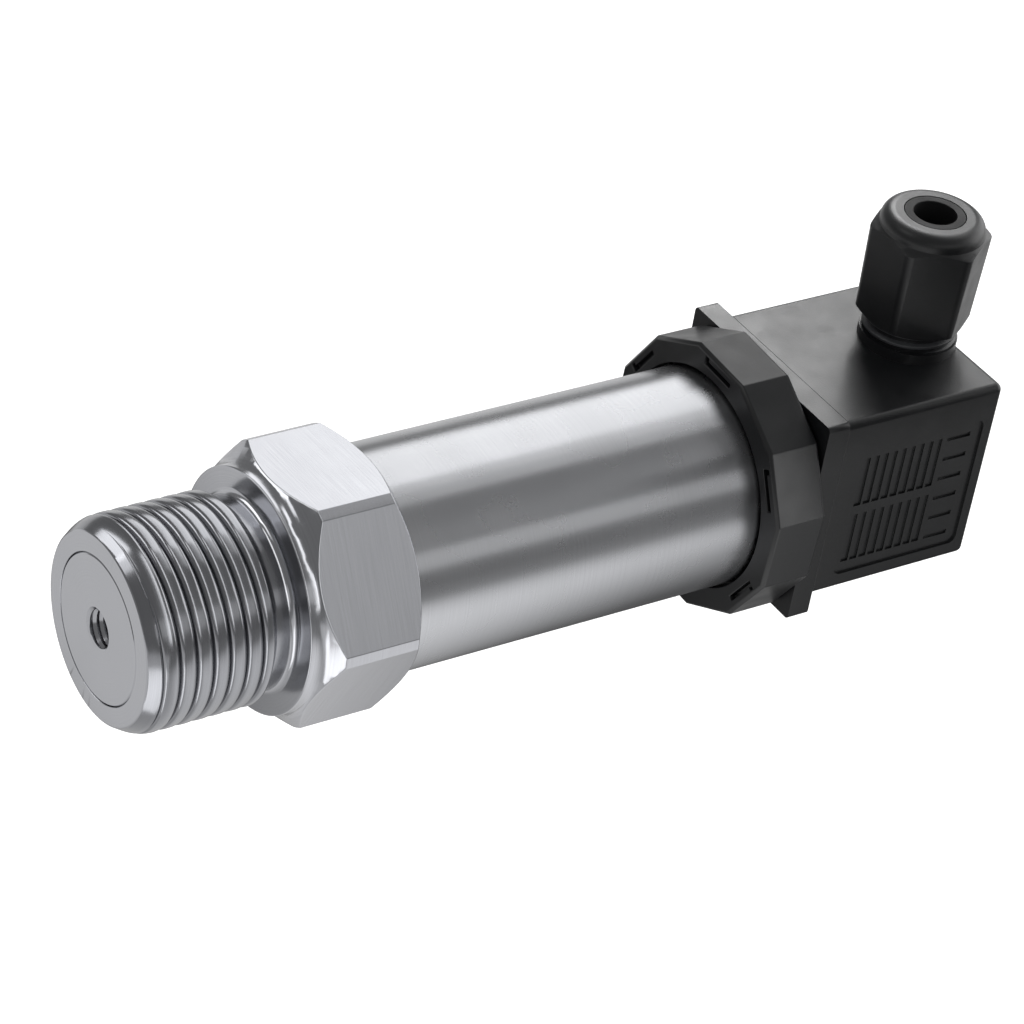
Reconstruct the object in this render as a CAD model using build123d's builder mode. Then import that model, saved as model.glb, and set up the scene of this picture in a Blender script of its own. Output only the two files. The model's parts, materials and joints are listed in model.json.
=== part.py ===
from build123d import *
import os
from math import cos, pi

os.makedirs("parts", exist_ok=True)

# X runs along the body from the mouth of the pressure port to the plug, and Z up to the cable gland.
# The origin is the centre of the threaded stub's end face.

# Fits between pieces
fit_gap = 0.05
running_gap = 0.06
loose_gap = 0.3

# Threaded stub of the process connection
thread_radius = 12.05
stub_length = 18.0
stub_end_radius = 10.8
lead_in_length = 2.0
neck_radius = 10.8
neck_length = 2.4
neck_fillet = 0.8
run_out_length = 0.9

# Collar and hexagon of the process connection
collar_radius = 13.95
collar_length = 1.3
hex_across_flats = 28.5
hex_length = 12.5
hex_corner_bevel = 0.77
hex_turn = -2.7
hex_front_slope = 0.9
hex_rear_slope = 0.7

# Spigot, pressure channel and capsule pocket inside the process connection
spigot_length = 6.2
channel_radius = 2.0
pocket_radius = 9.55
pocket_depth = 13.5

# Disc with the tapped pressure port
disc_radius = 8.5
disc_length = 6.0
disc_edge_chamfer = 0.15
port_radius = 2.44

# Pressure capsule, its seal, its ring and its pins
capsule_length = 6.5
capsule_back_radius = 6.8
capsule_back_length = 2.6
diaphragm_radius = 7.4
diaphragm_depth = 0.9
diaphragm_wave = 0.45
diaphragm_wave_count = 4
seal_section = 1.6
seal_groove_width = 2.2
ring_length = 3.0
ring_slot_width = 1.6
ring_slot_depth = 1.2
pin_radius = 0.4
pin_hole_depth = 1.4
pin_spread = 3.0
pin_overlap = 2.5

# Body tube
tube_radius = 13.0
tube_wall = 1.2
tube_length = 51.8
tube_edge_chamfer = 0.25

# Electronics on their board
holder_thickness = 3.0
holder_window_width = 3.0
board_thickness = 1.6
board_width = 17.0
board_slot_depth = 1.5
board_notch_depth = 3.6
chip_length = 8.0
chip_width = 5.2
chip_height = 1.7
chip_leg_count = 6
chip_leg_width = 0.5
chip_leg_reach = 1.0
chip_leg_height = 0.8
capacitor_radius = 2.2
capacitor_height = 5.0
capacitor_rim_fillet = 0.4
capacitor_spacing = 6.0
adjuster_side = 4.4
adjuster_height = 4.6
adjuster_screw_radius = 1.3
adjuster_screw_height = 0.5
adjuster_slot_width = 0.45
adjuster_spacing = 6.0

# Connector base with its square flange
base_web = 1.0
base_plug_length = 8.2
base_seal_section = 1.8
sleeve_wall = 1.45
sleeve_length = 5.6
sleeve_slot_count = 8
sleeve_slot_width = 0.8
flange_side = 27.0
flange_thickness = 2.9
flange_corner_fillet = 0.6
post_radius = 3.4
post_length = 5.2

# Flat contacts
blade_circle = 6.2
blade_width = 5.0
blade_thickness = 0.9
blade_length = 9.6
blade_tip_chamfer = 0.8
tail_width = 2.0
tail_length = 2.6

# Brass nut in the base, and the fixing screw
insert_radius = 2.3
insert_depth = 7.6
insert_groove_depth = 0.3
insert_land = 2.5
screw_radius = 1.5
screw_engagement = 6.0
screw_head_radius = 2.8
screw_head_height = 2.0
screw_slot_width = 0.8
screw_slot_depth = 0.9
screw_seal_thickness = 0.8
screw_recess_radius = 3.3
screw_recess_depth = 3.0

# Lock nut
nut_sides = 12
nut_wall = 1.56
nut_turn = -41.86
nut_length = 6.9
nut_edge_chamfer = 0.35
nut_bore_gap = 0.35
nut_lip_length = 1.4
nut_slot_count = 6
nut_slot_length = 5.0
nut_slot_width = 0.6
nut_slot_depth = 0.9
nut_slot_hook = 0.45

# Plug housing: flush with the flange above and on the near side, and narrower than it
plug_side = 24.2
plug_length = 22.7
plug_flush = 0.15
plug_wall = 1.8
plug_rear_wall = 2.2
plug_edge_fillet = 0.9
plug_seam_chamfer = 0.2
screw_boss_radius = 4.6

# Sunk panel in the near side of the plug, with two rows of upright slots and a column of level bars
panel_depth = 0.3
panel_front_margin = 2.66
panel_rear_margin = 1.84
panel_top_margin = 4.4
panel_bottom_margin = 2.1
panel_corner_fillet = 1.0
panel_border = 1.5
slot_depth = 0.25
slot_width = 1.02
slot_pitch = 1.31
slot_inset = 1.03
slot_row_gap = 1.3
bar_count = 6
bar_length = 3.4
bar_height = 0.6
bar_column_gap = 0.7

# Gasket, terminal insert, sockets and terminal screws inside the plug
gasket_thickness = 1.2
gasket_inner_gap = 0.2
gasket_width = 2.2
terminal_length = 13.0
socket_width = 6.0
socket_thickness = 3.0
socket_front_wall = 1.5
socket_slot_depth = 9.0
terminal_screw_radius = 1.0
terminal_screw_length = 2.6
terminal_head_radius = 1.45
terminal_head_height = 1.3
terminal_slot_width = 0.5
terminal_slot_depth = 0.6

# Cable gland: neck on the housing, seal, washer and nut
gland_setback = 5.15
gland_side_shift = -0.8
collar_ring_radius = 5.87
collar_ring_height = 1.25
gland_thread_radius = 5.2
gland_neck_height = 10.9
gland_bore_radius = 3.1
gland_seat_radius = 4.2
gland_seat_height = 4.2
gland_seal_boss_radius = 3.62
gland_seal_taper = 0.8
cable_radius = 2.54
gland_washer_thickness = 0.8
gland_nut_base_height = 3.5
gland_nut_height = 13.65
gland_nut_flats_bottom = 12.1
gland_nut_draft = 1.8
gland_nut_corner_fillet = 1.0
gland_nut_turn = 31.9
gland_dome_radius = 6.2
gland_dome_height = 1.85
gland_dome_fillet = 1.6
gland_chamfer_slope = 0.6

# Places along the body that follow from the sizes
collar_x = stub_length
hex_x = collar_x + collar_length
hex_end_x = hex_x + hex_length
spigot_end_x = hex_end_x + spigot_length
pocket_x = spigot_end_x - pocket_depth
capsule_back_x = pocket_x + capsule_length
tube_end_x = hex_end_x + tube_length
flange_x = tube_end_x + base_web
flange_end_x = flange_x + flange_thickness
base_plug_x = tube_end_x - base_plug_length
sleeve_x = flange_x - sleeve_length
nut_end_x = flange_x - loose_gap
nut_x = nut_end_x - nut_length
plinth_end_x = flange_end_x + gasket_thickness
post_end_x = plinth_end_x + post_length
blade_tip_x = plinth_end_x + blade_length
terminal_end_x = plinth_end_x + terminal_length
plug_end_x = flange_end_x + plug_length
holder_end_x = spigot_end_x + holder_thickness
board_x = holder_end_x - board_slot_depth
board_end_x = base_plug_x - loose_gap
screw_seat_x = plug_end_x - screw_recess_depth
screw_head_x = screw_seat_x + screw_seal_thickness
screw_tip_x = post_end_x - screw_engagement
tube_bore_radius = tube_radius - tube_wall
base_plug_radius = tube_bore_radius - fit_gap
sleeve_bore_radius = tube_radius + fit_gap
sleeve_radius = sleeve_bore_radius + sleeve_wall
nut_thread_radius = sleeve_radius + running_gap
nut_flat_radius = nut_thread_radius + nut_wall
nut_corner_radius = nut_flat_radius / cos(pi / nut_sides)
nut_bore_radius = tube_radius + nut_bore_gap
nut_slot_circle = (nut_bore_radius + nut_flat_radius) / 2

# Places across the plug
plug_top = flange_side / 2 - plug_flush
plug_near = -plug_top
plug_bottom = plug_top - plug_side
plug_far = plug_near + plug_side
plug_centre_y = (plug_near + plug_far) / 2
plug_centre_z = (plug_top + plug_bottom) / 2
plug_centre = (plug_centre_y, plug_centre_z)
cavity_side = plug_side - 2 * plug_wall
terminal_side = cavity_side - 2 * loose_gap
gasket_hole_side = terminal_side - 2 * gasket_width
plinth_side = gasket_hole_side - 2 * gasket_inner_gap
panel_front_x = flange_end_x + panel_front_margin
panel_end_x = plug_end_x - panel_rear_margin
panel_top_z = plug_top - panel_top_margin
panel_bottom_z = plug_bottom + panel_bottom_margin
gland_x = plug_end_x - gland_setback
gland_centre = (gland_x, gland_side_shift)
neck_top_z = plug_top + gland_neck_height
gland_seat_z = plug_top + gland_seat_height
washer_z = neck_top_z + loose_gap
washer_top_z = washer_z + gland_washer_thickness
gland_nut_z = plug_top + gland_nut_base_height
gland_nut_top_z = gland_nut_z + gland_nut_height
blade_turns = {"contact_blade_1": 90, "contact_blade_2": -90, "contact_blade_3": 180, "earth_blade": 0}


def blade_plane(turn, thickness):
    """Plane of the inner face of a flat piece, of that thickness, in the middle of the blade's place."""
    plug_middle = Plane(origin=(0, plug_centre_y, plug_centre_z))
    return plug_middle.rotated((turn, 0, 0)).offset(blade_circle - thickness / 2)


# Process connection, one turned and milled piece
with BuildPart() as process_connection:
    with BuildSketch(Plane.YZ.offset(hex_x)) as hex_outline:
        RegularPolygon(hex_across_flats / 2, 6, major_radius=False, rotation=hex_turn)
        chamfer(hex_outline.vertices(), length=hex_corner_bevel)
    extrude(amount=hex_length)
    hex_reach = hex_across_flats / 3**0.5
    with BuildSketch(Plane.XZ):
        with BuildLine():
            Polyline(
                (hex_x, 0),
                (hex_x, collar_radius),
                (hex_x + hex_front_slope * (hex_reach - collar_radius), hex_reach),
                (hex_end_x + hex_rear_slope * (collar_radius - hex_reach), hex_reach),
                (hex_end_x, collar_radius),
                (hex_end_x, 0),
                close=True,
            )
        make_face()
    revolve(axis=Axis.X, mode=Mode.INTERSECT)
    with BuildSketch(Plane.XZ):
        neck_x = stub_length - neck_length
        with BuildLine():
            Polyline(
                (stub_length, neck_radius + neck_fillet),
                (stub_length, collar_radius),
                (hex_x, collar_radius),
                (hex_x, 0),
                (0, 0),
                (0, stub_end_radius),
                (lead_in_length, thread_radius),
                (neck_x - run_out_length, thread_radius),
                (neck_x, neck_radius),
                (stub_length - neck_fillet, neck_radius),
            )
            JernArc((stub_length - neck_fillet, neck_radius), (1, 0), neck_fillet, 90)
        make_face()
    revolve(axis=Axis.X)
    with BuildSketch(Plane.YZ.offset(hex_end_x)):
        Circle(tube_bore_radius - fit_gap)
    extrude(amount=spigot_length)
    with BuildSketch(Plane.XZ):
        with BuildLine():
            Polyline(
                (0, 0),
                (0, disc_radius),
                (disc_length, disc_radius),
                (disc_length, channel_radius),
                (pocket_x, channel_radius),
                (pocket_x, pocket_radius),
                (spigot_end_x, pocket_radius),
                (spigot_end_x, 0),
                close=True,
            )
        make_face()
    revolve(axis=Axis.X, mode=Mode.SUBTRACT)
process_connection.part.label = "process_connection"
export_step(process_connection.part, "parts/process_connection.step")

# Disc pressed into the end face, with the tapped port
with BuildPart() as port_disc:
    with BuildSketch(Plane.YZ):
        Circle(disc_radius - fit_gap)
    extrude(amount=disc_length)
    chamfer(port_disc.edges().group_by(Axis.X)[0], length=disc_edge_chamfer)
    with BuildSketch(Plane.YZ):
        Circle(port_radius)
    extrude(amount=disc_length, mode=Mode.SUBTRACT)
port_disc.part.label = "port_disc"
export_step(port_disc.part, "parts/port_disc.step")

# Pressure capsule: a groove for the seal, a waved diaphragm in front, and holes for the pins behind
seal_groove_radius = pocket_radius - seal_section - fit_gap
seal_x = pocket_x + capsule_length / 2
pin_z = board_thickness / 2 + pin_radius + fit_gap
pin_places = [(side * pin_spread, up * pin_z) for side in (-1, 1) for up in (-1, 1)]
capsule_end_x = capsule_back_x + capsule_back_length
wave_pitch = diaphragm_radius / (diaphragm_wave_count + 1)
with BuildPart() as sensor_capsule:
    with BuildSketch(Plane.YZ.offset(pocket_x)):
        Circle(pocket_radius - fit_gap)
    extrude(amount=capsule_length)
    with BuildSketch(Plane.YZ.offset(capsule_back_x)):
        Circle(capsule_back_radius)
    extrude(amount=capsule_back_length)
    with BuildSketch(Plane.YZ.offset(pocket_x)):
        Circle(diaphragm_radius)
    extrude(amount=diaphragm_depth, mode=Mode.SUBTRACT)
    with BuildSketch(Plane.XZ):
        for wave in range(1, diaphragm_wave_count + 1):
            with Locations((pocket_x + diaphragm_depth, wave * wave_pitch)):
                Circle(diaphragm_wave)
    revolve(axis=Axis.X)
    with BuildSketch(Plane.XZ):
        with Locations((seal_x, (seal_groove_radius + tube_radius) / 2)):
            Rectangle(seal_groove_width, tube_radius - seal_groove_radius)
    revolve(axis=Axis.X, mode=Mode.SUBTRACT)
    with BuildSketch(Plane.YZ.offset(capsule_end_x)):
        with Locations(*pin_places):
            Circle(pin_radius + fit_gap)
    extrude(amount=-pin_hole_depth, mode=Mode.SUBTRACT)
sensor_capsule.part.label = "sensor_capsule"
export_step(sensor_capsule.part, "parts/sensor_capsule.step")

# O-ring in the capsule's groove
with BuildPart() as capsule_seal:
    with BuildSketch(Plane.XZ):
        with Locations((seal_x, pocket_radius - seal_section / 2 - fit_gap / 2)):
            Circle(seal_section / 2)
    revolve(axis=Axis.X)
capsule_seal.part.label = "capsule_seal"
export_step(capsule_seal.part, "parts/capsule_seal.step")

# Threaded ring behind the capsule, with two spanner slots
ring_end_x = capsule_back_x + ring_length
with BuildPart() as capsule_ring:
    with BuildSketch(Plane.YZ.offset(capsule_back_x)):
        Circle(pocket_radius - fit_gap)
        Circle(capsule_back_radius + fit_gap, mode=Mode.SUBTRACT)
    extrude(amount=ring_length)
    with BuildSketch(Plane.YZ.offset(ring_end_x)):
        Rectangle(2 * pocket_radius, ring_slot_width)
    extrude(amount=-ring_slot_depth, mode=Mode.SUBTRACT)
capsule_ring.part.label = "capsule_ring"
export_step(capsule_ring.part, "parts/capsule_ring.step")

# Four contact pins from the capsule to the board
pin_x = capsule_end_x - pin_hole_depth
with BuildPart() as capsule_pins:
    with BuildSketch(Plane.YZ.offset(pin_x)):
        with Locations(*pin_places):
            Circle(pin_radius)
    extrude(amount=holder_end_x + pin_overlap - pin_x)
capsule_pins.part.label = "capsule_pins"
export_step(capsule_pins.part, "parts/capsule_pins.step")

# Moulded holder between the spigot and the board
with BuildPart() as board_holder:
    with BuildSketch(Plane.YZ.offset(spigot_end_x)):
        Circle(tube_bore_radius - fit_gap)
        with Locations(*pin_places):
            Circle(pin_radius + fit_gap, mode=Mode.SUBTRACT)
        with GridLocations(2 * capsule_back_radius, 2 * capsule_back_radius, 2, 2):
            Circle(holder_window_width / 2, mode=Mode.SUBTRACT)
    extrude(amount=holder_thickness)
    with BuildSketch(Plane.YZ.offset(board_x)):
        Rectangle(board_width + 2 * fit_gap, board_thickness + 2 * fit_gap)
    extrude(amount=board_slot_depth, mode=Mode.SUBTRACT)
board_holder.part.label = "board_holder"
export_step(board_holder.part, "parts/board_holder.step")

# Amplifier board, lying along the tube, with notches for the tails of two blades
board_length = board_end_x - board_x
with BuildPart() as amplifier_board:
    with BuildSketch(Plane.XY.offset(-board_thickness / 2)):
        with Locations(((board_x + board_end_x) / 2, 0)):
            Rectangle(board_length, board_width)
        with Locations(*[(board_end_x, plug_centre_y + side * blade_circle) for side in (-1, 1)]):
            Rectangle(2 * board_notch_depth, blade_thickness + 2 * fit_gap, mode=Mode.SUBTRACT)
    extrude(amount=board_thickness)
amplifier_board.part.label = "amplifier_board"
export_step(amplifier_board.part, "parts/amplifier_board.step")

# Amplifier chip with its two rows of legs
board_third = board_length / 3
chip_x = board_x + board_third
leg_pitch = chip_length / chip_leg_count
with BuildPart() as amplifier_chip:
    with BuildSketch(Plane.XY.offset(board_thickness / 2 + chip_leg_height / 2)):
        with Locations((chip_x, 0)):
            Rectangle(chip_length, chip_width)
    extrude(amount=chip_height)
    with BuildSketch(Plane.XY.offset(board_thickness / 2)):
        with Locations((chip_x, 0)):
            with GridLocations(leg_pitch, chip_width + chip_leg_reach, chip_leg_count, 2):
                Rectangle(chip_leg_width, chip_leg_reach + chip_leg_width)
    extrude(amount=chip_leg_height)
amplifier_chip.part.label = "amplifier_chip"
export_step(amplifier_chip.part, "parts/amplifier_chip.step")

# Two round capacitors under the board
capacitor_x = board_x + board_third
with BuildPart() as board_capacitors:
    with BuildSketch(Plane.XY.offset(-board_thickness / 2)):
        with Locations((capacitor_x, 0)):
            with GridLocations(capacitor_spacing, 0, 2, 1):
                Circle(capacitor_radius)
    extrude(amount=-capacitor_height)
    capacitor_rims = board_capacitors.edges().group_by(Axis.Z)[0]
    fillet(capacitor_rims, radius=capacitor_rim_fillet)
board_capacitors.part.label = "board_capacitors"
export_step(board_capacitors.part, "parts/board_capacitors.step")

# Zero and span adjusters, square blocks with a slotted screw on top
adjuster_x = board_x + 2 * board_third
adjuster_top_z = board_thickness / 2 + adjuster_height
with BuildPart() as adjusters:
    with BuildSketch(Plane.XY.offset(board_thickness / 2)):
        with Locations((adjuster_x, 0)):
            with GridLocations(0, adjuster_spacing, 1, 2):
                Rectangle(adjuster_side, adjuster_side)
    extrude(amount=adjuster_height)
    with BuildSketch(Plane.XY.offset(adjuster_top_z)):
        with Locations((adjuster_x, 0)):
            with GridLocations(0, adjuster_spacing, 1, 2):
                Circle(adjuster_screw_radius)
                Rectangle(2 * adjuster_screw_radius, adjuster_slot_width, mode=Mode.SUBTRACT)
    extrude(amount=adjuster_screw_height)
adjusters.part.label = "adjusters"
export_step(adjusters.part, "parts/adjusters.step")

# Body tube from the hexagon into the connector base
with BuildPart() as body_tube:
    with BuildSketch(Plane.YZ.offset(hex_end_x)):
        Circle(tube_radius)
        Circle(tube_bore_radius, mode=Mode.SUBTRACT)
    extrude(amount=tube_length)
    tube_front_rim = body_tube.edges().group_by(Axis.X)[0].sort_by(SortBy.RADIUS)[-1]
    chamfer(tube_front_rim, length=tube_edge_chamfer)
body_tube.part.label = "body_tube"
export_step(body_tube.part, "parts/body_tube.step")

# Connector base: square flange, slotted sleeve over the tube, plug in it, and the post for the brass nut
base_seal_x = tube_end_x - base_plug_length / 2
base_seal_groove_radius = tube_bore_radius - base_seal_section - fit_gap
insert_floor_x = post_end_x - insert_depth
with BuildPart() as connector_base:
    with BuildSketch(Plane.YZ.offset(flange_x)) as flange_outline:
        Rectangle(flange_side, flange_side)
        fillet(flange_outline.vertices(), radius=flange_corner_fillet)
    extrude(amount=flange_thickness)
    with BuildSketch(Plane.YZ.offset(flange_end_x)):
        with Locations(plug_centre):
            Rectangle(plinth_side, plinth_side)
    extrude(amount=gasket_thickness)
    with BuildSketch(Plane.YZ.offset(plinth_end_x)):
        with Locations(plug_centre):
            Circle(post_radius)
    extrude(amount=post_length)
    with BuildSketch(Plane.XZ):
        with BuildLine():
            Polyline(
                (base_plug_x, 0),
                (base_plug_x, base_plug_radius),
                (base_seal_x - seal_groove_width / 2, base_plug_radius),
                (base_seal_x - seal_groove_width / 2, base_seal_groove_radius),
                (base_seal_x + seal_groove_width / 2, base_seal_groove_radius),
                (base_seal_x + seal_groove_width / 2, base_plug_radius),
                (tube_end_x, base_plug_radius),
                (tube_end_x, sleeve_bore_radius),
                (sleeve_x, sleeve_bore_radius),
                (sleeve_x, sleeve_radius),
                (flange_x, sleeve_radius),
                (flange_x, 0),
                close=True,
            )
        make_face()
    revolve(axis=Axis.X)
    with BuildSketch(Plane.YZ.offset(sleeve_x)):
        with PolarLocations((sleeve_bore_radius + sleeve_radius) / 2, sleeve_slot_count):
            Rectangle(2 * (sleeve_radius - sleeve_bore_radius), sleeve_slot_width)
    extrude(amount=tube_end_x - sleeve_x, mode=Mode.SUBTRACT)
    with BuildSketch(Plane.YZ.offset(post_end_x)):
        with Locations(plug_centre):
            Circle(insert_radius + fit_gap)
    extrude(amount=-insert_depth, mode=Mode.SUBTRACT)
    for turn in blade_turns.values():
        with BuildSketch(blade_plane(turn, blade_thickness + 2 * fit_gap)):
            with Locations(((base_plug_x + plinth_end_x) / 2, 0)):
                Rectangle(plinth_end_x - base_plug_x, tail_width + 2 * fit_gap)
        extrude(amount=blade_thickness + 2 * fit_gap, mode=Mode.SUBTRACT)
connector_base.part.label = "connector_base"
export_step(connector_base.part, "parts/connector_base.step")

# O-ring between the base's plug and the tube
with BuildPart() as base_seal:
    with BuildSketch(Plane.XZ):
        with Locations((base_seal_x, tube_bore_radius - base_seal_section / 2 - fit_gap / 2)):
            Circle(base_seal_section / 2)
    revolve(axis=Axis.X)
base_seal.part.label = "base_seal"
export_step(base_seal.part, "parts/base_seal.step")

# Flat contacts, each with a narrow tail through the base, and the earth blade bent out to the tube
tail_x = base_plug_x - tail_length
foot_half_width = abs(plug_centre_y) + tail_width / 2
foot_start_z = plug_centre_z + blade_circle
foot_end_z = ((tube_bore_radius - loose_gap) ** 2 - foot_half_width**2) ** 0.5
for blade_name, turn in blade_turns.items():
    with BuildPart() as blade:
        with BuildSketch(blade_plane(turn, blade_thickness)) as blade_outline:
            with Locations(((plinth_end_x + blade_tip_x) / 2, 0)):
                Rectangle(blade_length, blade_width)
            chamfer(blade_outline.vertices().group_by(Axis.X)[-1], length=blade_tip_chamfer)
            with Locations(((tail_x + plinth_end_x) / 2, 0)):
                Rectangle(plinth_end_x - tail_x, tail_width)
        extrude(amount=blade_thickness)
        if blade_name == "earth_blade":
            with BuildSketch(Plane.YZ.offset(tail_x)):
                with Locations((plug_centre_y, (foot_start_z + foot_end_z) / 2)):
                    Rectangle(tail_width, foot_end_z - foot_start_z)
            extrude(amount=blade_thickness)
    blade.part.label = blade_name
    export_step(blade.part, f"parts/{blade_name}.step")

# Brass nut moulded into the post, with a groove round it that holds it in
groove_start_x = insert_floor_x + insert_land
groove_end_x = post_end_x - insert_land
with BuildPart() as centre_insert:
    with BuildSketch(Plane.YZ.offset(insert_floor_x)):
        with Locations(plug_centre):
            Circle(insert_radius)
    extrude(amount=insert_depth)
    with BuildSketch(Plane.YZ.offset(groove_start_x)):
        with Locations(plug_centre):
            Circle(insert_radius)
            Circle(insert_radius - insert_groove_depth, mode=Mode.SUBTRACT)
    extrude(amount=groove_end_x - groove_start_x, mode=Mode.SUBTRACT)
    with BuildSketch(Plane.YZ.offset(insert_floor_x)):
        with Locations(plug_centre):
            Circle(screw_radius + running_gap)
    extrude(amount=insert_depth, mode=Mode.SUBTRACT)
centre_insert.part.label = "centre_insert"
export_step(centre_insert.part, "parts/centre_insert.step")

# Lock nut: twelve flats, a lip round the tube, and hooked slots in the front face beside every other flat
facet_step = 360 / nut_sides
with BuildPart() as lock_nut:
    with BuildSketch(Plane.YZ.offset(nut_x)):
        RegularPolygon(nut_corner_radius, nut_sides, rotation=nut_turn)
    extrude(amount=nut_length)
    chamfer(lock_nut.edges().filter_by(Plane.YZ), length=nut_edge_chamfer)
    with BuildSketch(Plane.YZ.offset(nut_x)):
        Circle(nut_bore_radius)
    extrude(amount=nut_length, mode=Mode.SUBTRACT)
    with BuildSketch(Plane.YZ.offset(nut_x + nut_lip_length)):
        Circle(nut_thread_radius)
    extrude(amount=nut_length - nut_lip_length, mode=Mode.SUBTRACT)
    with BuildSketch(Plane.YZ.offset(nut_x)):
        with PolarLocations(nut_slot_circle, nut_slot_count, start_angle=nut_turn + facet_step / 2):
            Rectangle(nut_slot_width, nut_slot_length)
            with Locations(((nut_slot_width + nut_slot_hook) / 2, (nut_slot_width - nut_slot_length) / 2)):
                Rectangle(nut_slot_hook, nut_slot_width)
    extrude(amount=nut_slot_depth, mode=Mode.SUBTRACT)
lock_nut.part.label = "lock_nut"
export_step(lock_nut.part, "parts/lock_nut.step")

# Gasket on the flange inside the plug
with BuildPart() as plug_gasket:
    with BuildSketch(Plane.YZ.offset(flange_end_x)):
        with Locations(plug_centre):
            Rectangle(terminal_side, terminal_side)
            Rectangle(gasket_hole_side, gasket_hole_side, mode=Mode.SUBTRACT)
    extrude(amount=gasket_thickness)
plug_gasket.part.label = "plug_gasket"
export_step(plug_gasket.part, "parts/plug_gasket.step")

# Plug housing: a box open to the flange, the neck of the gland, the screw's boss and the side pattern
cavity_length = plug_length - plug_rear_wall
near_side = Plane.XZ.offset(-plug_near)
panel_length = panel_end_x - panel_front_x
panel_height = panel_top_z - panel_bottom_z
panel_centre_z = (panel_top_z + panel_bottom_z) / 2
panel_centre = ((panel_front_x + panel_end_x) / 2, panel_centre_z)
slot_rib = slot_pitch - slot_width
slot_room = panel_length - slot_inset - bar_column_gap - bar_length - panel_border
slot_count = int((slot_room + slot_rib) / slot_pitch)
slot_field_x = panel_front_x + slot_inset + (slot_count * slot_pitch - slot_rib) / 2
slot_height = (panel_height - 2 * panel_border - slot_row_gap) / 2
bar_column_x = panel_end_x - panel_border - bar_length / 2
bar_pitch = (panel_height - 2 * panel_border - bar_height) / (bar_count - 1)
with BuildPart() as plug_housing:
    with BuildSketch(Plane.YZ.offset(flange_end_x)):
        with Locations(plug_centre):
            Rectangle(plug_side, plug_side)
    extrude(amount=plug_length)
    long_edges = plug_housing.edges().filter_by(Axis.X)
    rear_edges = plug_housing.edges().group_by(Axis.X)[-1]
    fillet(long_edges + rear_edges, radius=plug_edge_fillet)
    chamfer(plug_housing.edges().group_by(Axis.X)[0], length=plug_seam_chamfer)
    with BuildSketch(Plane.XY.offset(plug_top - plug_edge_fillet)):
        with Locations(gland_centre):
            Circle(collar_ring_radius)
    extrude(amount=plug_edge_fillet + collar_ring_height)
    with BuildSketch(Plane.XY.offset(plug_top)):
        with Locations(gland_centre):
            Circle(gland_thread_radius)
    extrude(amount=gland_neck_height)
    with BuildSketch(Plane.YZ.offset(flange_end_x)):
        with Locations(plug_centre):
            Rectangle(cavity_side, cavity_side)
    extrude(amount=cavity_length, mode=Mode.SUBTRACT)
    with BuildSketch(Plane.YZ.offset(terminal_end_x)):
        with Locations(plug_centre):
            Circle(screw_boss_radius)
    extrude(amount=plug_end_x - plug_edge_fillet - terminal_end_x)
    with BuildSketch(Plane.YZ.offset(terminal_end_x)):
        with Locations(plug_centre):
            Circle(screw_radius + loose_gap)
    extrude(amount=plug_end_x - terminal_end_x, mode=Mode.SUBTRACT)
    with BuildSketch(Plane.YZ.offset(screw_seat_x)):
        with Locations(plug_centre):
            Circle(screw_recess_radius)
    extrude(amount=screw_recess_depth, mode=Mode.SUBTRACT)
    with BuildSketch(Plane.XY.offset(plug_top - plug_wall)):
        with Locations(gland_centre):
            Circle(gland_bore_radius)
    extrude(amount=plug_wall + gland_neck_height, mode=Mode.SUBTRACT)
    with BuildSketch(Plane.XY.offset(gland_seat_z)):
        with Locations(gland_centre):
            Circle(gland_seat_radius)
    extrude(amount=gland_neck_height, mode=Mode.SUBTRACT)
    split(bisect_by=Plane.YZ.offset(plug_end_x), keep=Keep.BOTTOM)
    with BuildSketch(near_side) as panel_outline:
        with Locations(panel_centre):
            Rectangle(panel_length, panel_height)
        fillet(panel_outline.vertices(), radius=panel_corner_fillet)
    extrude(amount=-panel_depth, mode=Mode.SUBTRACT)
    with BuildSketch(near_side.offset(-panel_depth)):
        with Locations((slot_field_x, panel_centre_z)):
            with GridLocations(slot_pitch, slot_height + slot_row_gap, slot_count, 2):
                Rectangle(slot_width, slot_height)
        with Locations((bar_column_x, panel_centre_z)):
            with GridLocations(0, bar_pitch, 1, bar_count):
                Rectangle(bar_length, bar_height)
    extrude(amount=-slot_depth, mode=Mode.SUBTRACT)
plug_housing.part.label = "plug_housing"
export_step(plug_housing.part, "parts/plug_housing.step")

# Terminal insert: a block with a pocket for each socket, slits for the blades and a hole for the post
with BuildPart() as terminal_insert:
    with BuildSketch(Plane.YZ.offset(plinth_end_x)):
        with Locations(plug_centre):
            Rectangle(terminal_side, terminal_side)
    extrude(amount=terminal_length)
    with BuildSketch(Plane.YZ.offset(plinth_end_x)):
        with Locations(plug_centre):
            Circle(post_radius + loose_gap)
    extrude(amount=post_length + loose_gap, mode=Mode.SUBTRACT)
    with BuildSketch(Plane.YZ.offset(plinth_end_x)):
        with Locations(plug_centre):
            Circle(screw_radius + loose_gap)
    extrude(amount=terminal_length, mode=Mode.SUBTRACT)
    for turn in blade_turns.values():
        with BuildSketch(blade_plane(turn, socket_thickness + 2 * fit_gap)):
            with Locations(((plinth_end_x + socket_front_wall + terminal_end_x) / 2, 0)):
                Rectangle(terminal_length - socket_front_wall, socket_width + 2 * fit_gap)
        extrude(amount=socket_thickness + 2 * fit_gap, mode=Mode.SUBTRACT)
        with BuildSketch(blade_plane(turn, blade_thickness + 2 * loose_gap)):
            with Locations((plinth_end_x + socket_front_wall / 2, 0)):
                Rectangle(socket_front_wall, blade_width + 2 * loose_gap)
        extrude(amount=blade_thickness + 2 * loose_gap, mode=Mode.SUBTRACT)
terminal_insert.part.label = "terminal_insert"
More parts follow.
